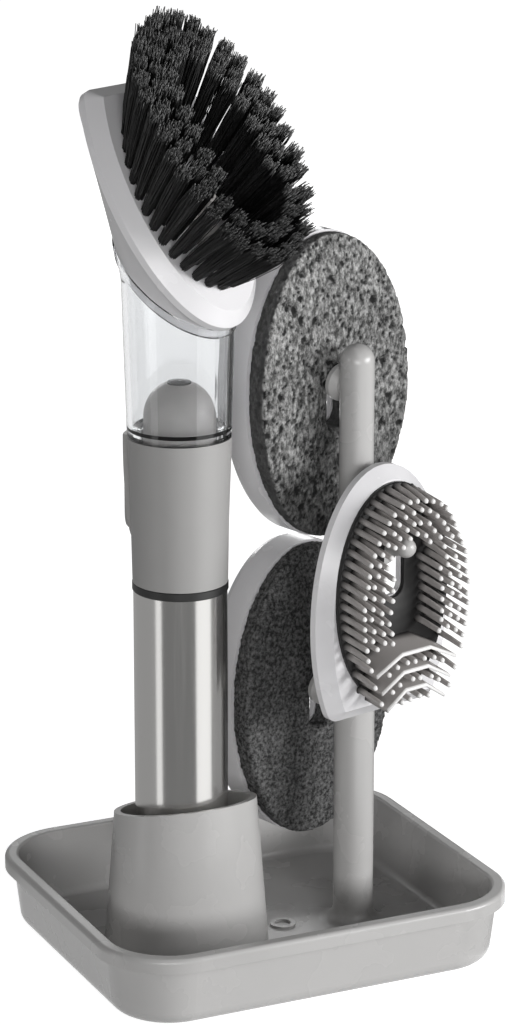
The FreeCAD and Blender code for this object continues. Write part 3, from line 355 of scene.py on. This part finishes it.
# The filament's two lighter greys are painted sheen and painted tip highlights
FILAMENT = bristle_filament("polyester_filament", "#050505", "#202020", "#5C5C5C")
# The sponge's darkest grey is painted shade in the cells and towards its foot; the side grey is painted shade
SPONGE = cellulose_sponge("cellulose_sponge", "#4A4A49", "#B6B6B5", "#141414", "#3E3E3E")
FLEECE = scouring_fleece("scouring_fleece", "#0C0C0C", "#6E6E6E")
# The silicone's near black is painted shade and its pale grey painted highlights at the rod ends
SILICONE = silicone_rubber("silicone_rubber", "#121111", "#A09C9A", "#E6E5E4")

FINISHES = {
    "grey_plastic": GREY_ABS, "grip_grey": GRIP_ABS, "button_rubber": GRIP_ABS, "white_plastic": WHITE_ABS,
    "black_plastic": BLACK_ABS, "steel": STEEL, "clear_tank": FROSTED_TANK, "clear_neck": CLEAR_NECK,
    "black_rubber": BLACK_RUBBER, "black_bristle": FILAMENT, "grey_sponge": SPONGE, "dark_scourer": FLEECE,
    "grey_silicone": SILICONE,
}
slot_of_node = {part["node"]: part["material_slot"] for part in frame["record"]["subparts"]}
for name, node in nodes.items():
    node.data.materials.clear()
    node.data.materials.append(FINISHES[slot_of_node[name]])
for name in ("pump_body", "soap_nozzle"):
    nodes[name].data.materials[0] = PUMP_PLASTIC


def piece(name, mesh, material, node):
    """Puts a mesh into the scene in place of a node, on that node's body."""
    made = bpy.data.objects.new(name, mesh)
    bpy.context.scene.collection.objects.link(made)
    mesh.materials.clear()
    mesh.materials.append(material)
    mesh.polygons.foreach_set("use_smooth", [True] * len(mesh.polygons))
    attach(made, body_of_node[node])
    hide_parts(node)
    return made


def mesh_from(bm, name):
    mesh = bpy.data.meshes.new(name)
    bm.to_mesh(mesh)
    bm.free()
    return mesh


def attribute_values(mesh, name, values):
    attribute = mesh.attributes.new(name, "FLOAT", "POINT")
    attribute.data.foreach_set("value", values)


def lofted(bm, rings):
    """First ring of points as a face, extruded to each next ring and closed at the last."""
    face = bm.faces.new([bm.verts.new(point) for point in rings[0]])
    for ring in rings[1:]:
        face = bmesh.ops.extrude_discrete_faces(bm, faces=[face])["faces"][0]
        for vert, point in zip(face.verts, ring):
            vert.co = point


def frame_matrix(origin, lengthwise, normal):
    """Local X across, Y towards a head's tip, Z out of its face."""
    across = lengthwise.cross(normal)
    matrix = Matrix((across, lengthwise, normal)).transposed().to_4x4()
    matrix.translation = origin
    return matrix


def face_frame(node, lengthwise, normal):
    """Frame in the middle of a node's lowest face along the normal, and that face's size."""
    turn = frame_matrix(Vector(), lengthwise, normal).to_3x3()
    points = [turn.transposed() @ v.co for v in nodes[node].data.vertices]
    level = min(p.z for p in points)
    base = [p for p in points if p.z < level + LEVEL_TOLERANCE]
    low = Vector((min(p.x for p in base), min(p.y for p in base), level))
    high = Vector((max(p.x for p in base), max(p.y for p in base), level))
    return frame_matrix(turn @ ((low + high) / 2), lengthwise, normal), high - low


brush_normal = Vector(joints["brush_head_pull"]["axis"]).normalized()
brush_lengthwise = (UP - brush_normal * brush_normal.dot(UP)).normalized()
peg_way = Vector(joints["silicone_head_pull"]["axis"])
hung_normal = Vector((peg_way.x, peg_way.y, 0)).normalized()


# Bristle tufts: bundles of filament that spread from each solid tuft's root
def tuft_ends():
    """Root and tip middles of the tufts, from the islands of the node's mesh."""
    bm = bmesh.new()
    bm.from_mesh(nodes["bristle_tufts"].data)
    bmesh.ops.remove_doubles(bm, verts=bm.verts[:], dist=MERGE_DISTANCE)
    todo = set(bm.verts)
    ends = []
    while todo:
        island = [todo.pop()]
        for vert in island:
            for edge in vert.link_edges:
                other = edge.other_vert(vert)
                if other in todo:
                    todo.remove(other)
                    island.append(other)
        heights = [v.co.dot(brush_normal) for v in island]
        rings = []
        for level in (min(heights), max(heights)):
            ring = [v.co for v, height in zip(island, heights) if abs(height - level) < LEVEL_TOLERANCE]
            rings.append(sum(ring, Vector()) / len(ring))
        ends.append(rings)
    bm.free()
    return sorted(ends, key=lambda pair: tuple(pair[0]))


def fanned(root, tip, brush_frame):
    """Tip of a tuft whose soft filament spreads away from the middle of the brush."""
    local = brush_frame.inverted() @ root
    shift = brush_frame.to_3x3() @ Vector((local.x * FAN_ACROSS, local.y * FAN_ALONG, 0))
    return root + (tip + shift - root).normalized() * ((tip - root).length * TUFT_LENGTH_SHARE)


def make_bristles():
    brush_frame = face_frame("bristle_tufts", brush_lengthwise, brush_normal)[0]
    rng = random.Random(BRISTLE_SEED)
    brush = bmesh.new()
    rises = []
    for root, end_of_solid in tuft_ends():
        tip = fanned(root, end_of_solid, brush_frame)
        way = (tip - root).normalized()
        side = way.orthogonal().normalized()
        other = way.cross(side)
        tip += side * rng.gauss(0, TUFT_STRAY) + other * rng.gauss(0, TUFT_STRAY)
        bm = bmesh.new()
        spokes = []
        for index in range(FILAMENT_SIDES):
            turn = 2 * math.pi * index / FILAMENT_SIDES
            spokes.append((side * math.cos(turn) + other * math.sin(turn)) * FILAMENT_RADIUS)

        def stray(size):
            return (side * rng.gauss(0, 1) + other * rng.gauss(0, 1)) * size

        for index in range(FILAMENTS_PER_TUFT):
            reach = math.sqrt((index + 0.5) / FILAMENTS_PER_TUFT)
            turn = index * GOLDEN_ANGLE + rng.uniform(-1, 1) * FILAMENT_TURN_SPREAD
            ray = side * math.cos(turn) + other * math.sin(turn)
            start = root + ray * (reach * TUFT_ROOT_RADIUS)
            stretch = 1 + rng.uniform(-1, 1) * FILAMENT_LENGTH_SPREAD
            end = start.lerp(tip + ray * (reach * TUFT_TIP_RADIUS), stretch)
            bow = stray(FILAMENT_BOW)
            rings = []
            for share in FILAMENT_RINGS:
                sway = bow * math.sin(math.pi * share) + stray(FILAMENT_KINK) * share
                rings.append([start.lerp(end, share) + sway + spoke for spoke in spokes])
                rises += [share] * FILAMENT_SIDES
            lofted(bm, rings)
        tuft = mesh_from(bm, "tuft")
        brush.from_mesh(tuft)
        bpy.data.meshes.remove(tuft)
    mesh = mesh_from(brush, "bristles")
    attribute_values(mesh, "rise", rises)
    return piece("bristles", mesh, FILAMENT, "bristle_tufts")


# Soft pads: the solid's form, remeshed finely and given open cells or a fibrous skin
def remeshed(node, voxel, rounding):
    bm = bmesh.new()
    bm.from_mesh(nodes[node].data)
    bmesh.ops.remove_doubles(bm, verts=bm.verts[:], dist=MERGE_DISTANCE)
    holder = bpy.data.objects.new("remeshing", mesh_from(bm, "remeshing"))
    bpy.context.scene.collection.objects.link(holder)
    remesh = holder.modifiers.new("voxels", "REMESH")
    remesh.mode = "VOXEL"
    remesh.voxel_size = voxel
    depsgraph = bpy.context.evaluated_depsgraph_get()
    mesh = bpy.data.meshes.new_from_object(holder.evaluated_get(depsgraph))
    bpy.data.objects.remove(holder)
    bm = bmesh.new()
    bm.from_mesh(mesh)
    for step in range(rounding):
        bmesh.ops.smooth_vert(
            bm, verts=bm.verts[:], factor=0.5, use_axis_x=True, use_axis_y=True, use_axis_z=True)
    bm.normal_update()
    return bm


def cell_depth(place, size, share):
    """How deep a point lies in the open cells of that size: 0 on a web, 1 in a cell's middle."""
    near = noise.voronoi(place / size, distance_metric="DISTANCE")[0]
    wobble = SPONGE_CELL_WOBBLE * noise.noise(place / (0.4 * size))
    return clamped((share - near[0] + wobble) / share)


def make_sponge_pad():
    pad_frame, size = face_frame("sponge_pad", -UP, hung_normal)
    inward = pad_frame.inverted()
    bm = remeshed("sponge_pad", SPONGE_VOXEL, SPONGE_ROUNDING)
    pores = []
    side_shades = []
    low_shadows = []
    normals = [v.normal.copy() for v in bm.verts]
    for vert, normal in zip(bm.verts, normals):
        place = vert.co.copy()
        local = inward @ place
        facing = normal.dot(hung_normal)
        crowd = noise.noise(place / (3 * SPONGE_CELL))
        shadow_patch = noise.noise(place / (0.3 * size.x))
        small = cell_depth(place, SPONGE_CELL, SPONGE_CELL_SHARE + SPONGE_CELL_SHARE_SPREAD * crowd)
        gate = 1.0 if noise.noise(place / (2.5 * SPONGE_LARGE_CELL)) > -0.1 else 0.6
        large = gate * cell_depth(
            place + SPONGE_LARGE_CELL_SHIFT, SPONGE_LARGE_CELL, SPONGE_LARGE_CELL_SHARE)
        pore = max(0.75 * small, large)
        pores.append(pore)
        # Painted shade mask: surfaces that face away from the pad's front, its side walls
        side_shades.append(clamped((0.72 - facing + 0.3 * crowd) / 0.35))
        # Painted shadow mask, growing towards the sponge's foot in uneven patches
        low_shadows.append(clamped(0.35 + local.y / size.y + 0.4 * shadow_patch))
        sink = pore * SPONGE_PORE_DEPTH * (1.5 if large > 0.3 else 0.7)
        if local.z > SPONGE_BACK:
            vert.co = place - normal * sink
    mesh = mesh_from(bm, "sponge_face")
    attribute_values(mesh, "pore", pores)
    attribute_values(mesh, "side", side_shades)
    attribute_values(mesh, "low_shadow", low_shadows)
    made = piece("sponge_face", mesh, SPONGE, "sponge_pad")
    return made


def make_scourer_pad():
    bm = remeshed("scourer_pad", FLEECE_VOXEL, FLEECE_ROUNDING)
    normals = [v.normal.copy() for v in bm.verts]
    for vert, normal in zip(bm.verts, normals):
        lift = noise.fractal(vert.co / FLEECE_FIBRE, 0.9, 2.1, 3)
        vert.co = vert.co + normal * (lift * FLEECE_RELIEF)
    made = piece("scourer_face", mesh_from(bm, "scourer_face"), FLEECE, "scourer_pad")
    return made


# Silicone scrubber: a mat with a soap opening, round-ended rods and chevron blades
def raised_ends(pad_frame):
    """Outlines of the solid's rod and blade ends, in the pad's own frame."""
    inward = pad_frame.inverted()
    bm = bmesh.new()
    bm.from_mesh(nodes["silicone_pad"].data)
    bmesh.ops.remove_doubles(bm, verts=bm.verts[:], dist=MERGE_DISTANCE)
    bmesh.ops.transform(bm, matrix=inward, verts=bm.verts[:])
    top = max(v.co.z for v in bm.verts)
    low = [f for f in bm.faces if min(v.co.z for v in f.verts) < top - LEVEL_TOLERANCE]
    bmesh.ops.delete(bm, geom=low, context="FACES")
    bmesh.ops.dissolve_limit(bm, angle_limit=0.02, verts=bm.verts[:], edges=bm.edges[:])
    outlines = [[v.co.copy() for v in face.verts] for face in bm.faces]
    bm.free()
    return sorted(outlines, key=lambda corners: tuple(corners[0])), top


def leaning(end, share, height):
    """Point at a share of the height over a rod's or blade's foot, as the soft wall droops."""
    rise = share * height
    return Vector((end.x, end.y + rise * math.tan(ROD_LEAN), MAT_THICKNESS + rise))


def add_rod(bm, end, droop, height):
    """Leaning tapered rod with a flared root and a domed end."""
    rings = []
    for share, girth in ROD_PROFILE:
        middle = leaning(end, share, height) + droop * (share * share)
        ring = []
        for index in range(ROD_SIDES):
            turn = 2 * math.pi * index / ROD_SIDES
            ring.append(middle + Vector((math.cos(turn), math.sin(turn), 0)) * (girth * ROD_RADIUS))
        rings.append(ring)
    lofted(bm, rings)


def blade_spine(corners, x):
    """Height of a blade's middle line at that width."""
    level = [c.y for c in corners if abs(c.x - x) < 0.5 * MM]
    return sum(level) / len(level)


def add_blade(bm, corners, height):
    """Leaning blade whose wall thins towards a rounded edge."""
    rings = []
    for share, thinning in BLADE_PROFILE:
        ring = []
        for corner in corners:
            towards = Vector((0, math.copysign(1, corner.y - blade_spine(corners, corner.x)), 0))
            ring.append(leaning(corner, share, height) - towards * (thinning * MM))
        rings.append(ring)
    lofted(bm, rings)


def parted(outlines):
    """Middles of the rods' ends, and the outlines of the blades' edges."""
    rods = []
    blades = []
    for corners in outlines:
        middle = sum(corners, Vector()) / len(corners)
        if max((c - middle).length for c in corners) < 2 * ROD_RADIUS:
            rods.append(middle)
        else:
            blades.append(corners)
    return rods, blades


def row_ends(rods, blades, size):
    """Ends of the rods that fill the rows behind the blades, between those that the solid has."""
    ends = []
    for corners in blades:
        front = sorted([c for c in corners if c.y < blade_spine(corners, c.x)], key=lambda c: c.x)
        for left, right in zip(front, front[1:]):
            steps = max(2, round((right - left).length / ROW_SPACING))
            for step in range(steps):
                end = left.lerp(right, (step + 0.5) / steps) + Vector((0, ROW_OFFSET, 0))
                across = end.x / (size.x / 2 - 2 * ROD_RADIUS)
                along = end.y / (size.y / 2 - 2 * ROD_RADIUS)
                nearest = min((end - rod).length for rod in rods)
                if across ** 2 + along ** 2 < 1 and nearest > 2.4 * ROD_RADIUS:
                    ends.append(end)
    return ends


def add_mat(bm, size):
    """Oval mat with the soap opening and soft upper edges."""
    rim = bmesh.ops.create_circle(bm, segments=MAT_SEGMENTS, radius=1.0)["verts"]
    for vert in rim:
        vert.co = Vector((vert.co.x * size.x / 2, vert.co.y * size.y / 2, MAT_THICKNESS))
    opening = bmesh.ops.create_circle(bm, segments=MAT_SEGMENTS, radius=OPENING_WIDTH / 2)["verts"]
    for vert in opening:
        shift = math.copysign((OPENING_LENGTH - OPENING_WIDTH) / 2, vert.co.y)
        vert.co = Vector((vert.co.x, vert.co.y + shift + OPENING_OFFSET, MAT_THICKNESS))
    bmesh.ops.bridge_loops(bm, edges=bm.edges[:])
    grown = bmesh.ops.extrude_face_region(bm, geom=bm.faces[:])["geom"]
    for vert in [g for g in grown if isinstance(g, bmesh.types.BMVert)]:
        vert.co.z = 0.0
    bmesh.ops.recalc_face_normals(bm, faces=bm.faces[:])
    edges = [e for e in bm.edges if e.calc_face_angle(0) > 1.0 and all(v.co.z > 0 for v in e.verts)]
    bmesh.ops.bevel(
        bm, geom=edges, offset=MAT_EDGE, segments=2, profile=0.5, affect="EDGES", material=-1)


def make_silicone_pad():
    pad_frame, size = face_frame("silicone_pad", -UP, hung_normal)
    rng = random.Random(ROD_SEED)
    outlines, top = raised_ends(pad_frame)
    rods, blades = parted(outlines)
    height = top - MAT_THICKNESS
    bm = bmesh.new()
    add_mat(bm, size)
    for end in rods:
        droop = Vector((rng.gauss(0, ROD_DROOP_SPREAD), rng.gauss(ROD_DROOP, ROD_DROOP_SPREAD), 0))
        add_rod(bm, end, droop, height)
    for corners in blades:
        add_blade(bm, corners, height)
    for end in row_ends(rods, blades, size):
        add_rod(bm, end, Vector(), height)
    bmesh.ops.recalc_face_normals(bm, faces=bm.faces[:])
    rises = [v.co.z / top for v in bm.verts]
    bmesh.ops.transform(bm, matrix=pad_frame, verts=bm.verts[:])
    mesh = mesh_from(bm, "silicone_scrubber")
    attribute_values(mesh, "rise", rises)
    return piece("silicone_scrubber", mesh, SILICONE, "silicone_pad")


make_bristles()
make_sponge_pad()
make_scourer_pad()
make_silicone_pad()


# Studio: camera, pale floor, soft lamps and the cards that the steel mirrors
def view_way(azimuth, elevation):
    """Way towards something at that azimuth and elevation in degrees, 0 in front."""
    a = math.radians(azimuth)
    e = math.radians(elevation)
    return Vector((math.sin(a) * math.cos(e), -math.cos(a) * math.cos(e), math.sin(e)))


def make_camera():
    data = bpy.data.cameras.new("camera")
    data.sensor_width = SENSOR
    data.lens = FOCAL_PIXELS / LONG_SIDE_PIXELS * SENSOR
    data.clip_start = 0.05
    camera = bpy.data.objects.new("camera", data)
    bpy.context.scene.collection.objects.link(camera)
    back = view_way(VIEW_AZIMUTH, VIEW_ELEVATION)
    camera.location = VIEW_TARGET + back * VIEW_DISTANCE
    camera.rotation_mode = "QUATERNION"
    camera.rotation_quaternion = (-back).to_track_quat("-Z", "Y")
    bpy.context.scene.camera = camera


def seen_directly(material):
    """1 for what the camera, a mirror or a clear piece sees, 0 for light that falls on the object."""
    path = add(material, "ShaderNodeLightPath")
    some = add(material, "ShaderNodeMath", {
        0: path.outputs["Is Camera Ray"], 1: path.outputs["Is Glossy Ray"]}, operation="MAXIMUM")
    return add(material, "ShaderNodeMath", {
        0: some.outputs[0], 1: path.outputs["Is Transmission Ray"]}, operation="MAXIMUM").outputs[0]


def make_floor():
    bm = bmesh.new()
    bmesh.ops.create_grid(bm, x_segments=1, y_segments=1, size=FLOOR_SIZE)
    floor = bpy.data.objects.new("floor", mesh_from(bm, "floor"))
    bpy.context.scene.collection.objects.link(floor)
    material = blank_material("pale_floor")
    matte = add(material, "ShaderNodeBsdfDiffuse", {"Color": linear("#BEBEBE")})
    place = add(material, "ShaderNodeTexCoord").outputs["Object"]
    away = add(material, "ShaderNodeVectorMath", {0: place}, operation="LENGTH")
    lift = add(material, "ShaderNodeMapRange", {
        "Value": away.outputs["Value"], "From Min": FLOOR_NEAR, "From Max": FLOOR_FAR,
        "To Min": FLOOR_NEAR_TONE, "To Max": 1.0})
    shown = add(material, "ShaderNodeMath", {
        0: seen_directly(material), 1: lift.outputs["Result"]}, operation="MULTIPLY")
    glow = add(material, "ShaderNodeEmission", {"Color": (1, 1, 1, 1), "Strength": shown.outputs[0]})
    both = add(material, "ShaderNodeAddShader", {0: matte.outputs[0], 1: glow.outputs[0]})
    add(material, "ShaderNodeOutputMaterial", {"Surface": both.outputs[0]})
    floor.data.materials.append(material)


def make_world():
    world = bpy.data.worlds.new("studio")
    bpy.context.scene.world = world
    world.use_nodes = True
    world.node_tree.nodes.clear()
    strength = add(world, "ShaderNodeMapRange", {
        "Value": seen_directly(world), "To Min": AMBIENT, "To Max": 1.0})
    sky = add(world, "ShaderNodeBackground", {
        "Color": (1, 1, 1, 1), "Strength": strength.outputs["Result"]})
    add(world, "ShaderNodeOutputWorld", {"Surface": sky.outputs[0]})


def make_lamp(name, azimuth, elevation, distance, size, power):
    data = bpy.data.lights.new(name, "AREA")
    data.shape = "RECTANGLE"
    data.size, data.size_y = size
    data.energy = power
    lamp = bpy.data.objects.new(name, data)
    bpy.context.scene.collection.objects.link(lamp)
    way = view_way(azimuth, elevation)
    lamp.location = VIEW_TARGET + way * distance
    lamp.rotation_mode = "QUATERNION"
    lamp.rotation_quaternion = way.to_track_quat("Z", "Y")


def make_card(name, start, stop, brightness):
    """Upright curved card round the wand that only mirrors see, from one azimuth to another."""
    bm = bmesh.new()
    low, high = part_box("handle_tube")
    middle = Vector(((low.x + high.x) / 2, (low.y + high.y) / 2, 0))
    way = view_way(start, 0)
    ends = [bm.verts.new(middle + way * CARD_RADIUS + UP * z) for z in (0, CARD_HEIGHT)]
    edge = bm.edges.new(ends)
    bmesh.ops.spin(bm, geom=[*ends, edge], cent=middle, axis=UP, angle=math.radians(stop - start),
                   steps=max(2, int((stop - start) / CARD_STEP)), use_merge=False)
    card = bpy.data.objects.new(name, mesh_from(bm, name))
    bpy.context.scene.collection.objects.link(card)
    material = blank_material(name)
    glow = add(material, "ShaderNodeEmission", {"Color": (1, 1, 1, 1), "Strength": brightness})
    add(material, "ShaderNodeOutputMaterial", {"Surface": glow.outputs[0]})
    card.data.materials.append(material)
    card.visible_camera = False
    card.visible_diffuse = False
    card.visible_shadow = False
    card.visible_transmission = False


make_camera()
make_floor()
make_world()
for lamp in LAMPS:
    make_lamp(*lamp)
for index, (start, stop, brightness) in enumerate(CARDS):
    make_card("card_%d" % index, start, stop, brightness)

bpy.context.scene.view_settings.view_transform = "Standard"
